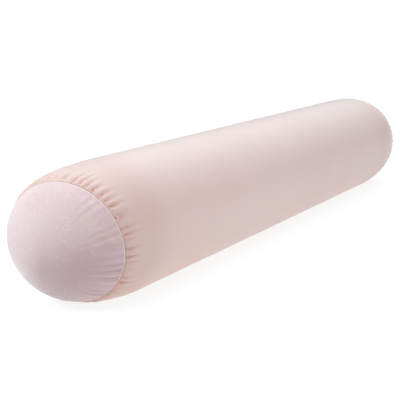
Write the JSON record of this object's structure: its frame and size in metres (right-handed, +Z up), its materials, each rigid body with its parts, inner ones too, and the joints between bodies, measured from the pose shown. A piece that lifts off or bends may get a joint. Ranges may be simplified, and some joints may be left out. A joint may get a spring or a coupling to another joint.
{
  "type": "bolster pillow",
  "caption": "Long round bolster pillow: smooth stretch cover gathered onto domed plush ends, zip along the back, and a bead-filled inner pillow that supports a body during massage.",
  "frame": {"origin": "centre of the underside's flat, on the surface that the pillow lies on", "axes": "+X along the tube, towards the zip's closed end; +Y to the back, where the zip is; +Z up"},
  "size_m": [1.2, 0.2, 0.192],
  "materials": {
    "stretch_knit": "satin",
    "plush": "matte",
    "gathering_tape": "matte",
    "zip_tape": "matte",
    "zip_coil": "satin",
    "zip_metal": "satin",
    "label_satin": "satin",
    "lining": "matte",
    "beads": "matte"
  },
  "bodies": {
    "pillow": {"cover_tube": "stretch_knit", "front_end_panel": "plush", "rear_end_panel": "plush", "front_gathering_tape": "gathering_tape", "rear_gathering_tape": "gathering_tape", "zip_tape_upper": "zip_tape", "zip_tape_lower": "zip_tape", "zip_coil_upper": "zip_coil", "zip_coil_lower": "zip_coil", "zip_top_stop_upper": "zip_metal", "zip_top_stop_lower": "zip_metal", "zip_bottom_stop": "zip_metal", "care_label": "label_satin", "liner_tube": "lining", "liner_front_panel": "lining", "liner_rear_panel": "lining", "bead_fill": "beads"},
    "slider": {"zip_slider": "zip_metal"},
    "pull": {"zip_pull_tab": "zip_metal"}
  },
  "joints": [
    {"name": "zip_slide", "type": "slide", "parent": "pillow", "child": "slider", "axis": [-1, 0, 0], "range_m": [0, 0.5482]},
    {"name": "pull_swing", "type": "hinge", "parent": "slider", "child": "pull", "pos_m": [0.2741, 0.08968, 0.14377], "axis": [0, 0.5, -0.866], "range_deg": [0, 174]}
  ]
}
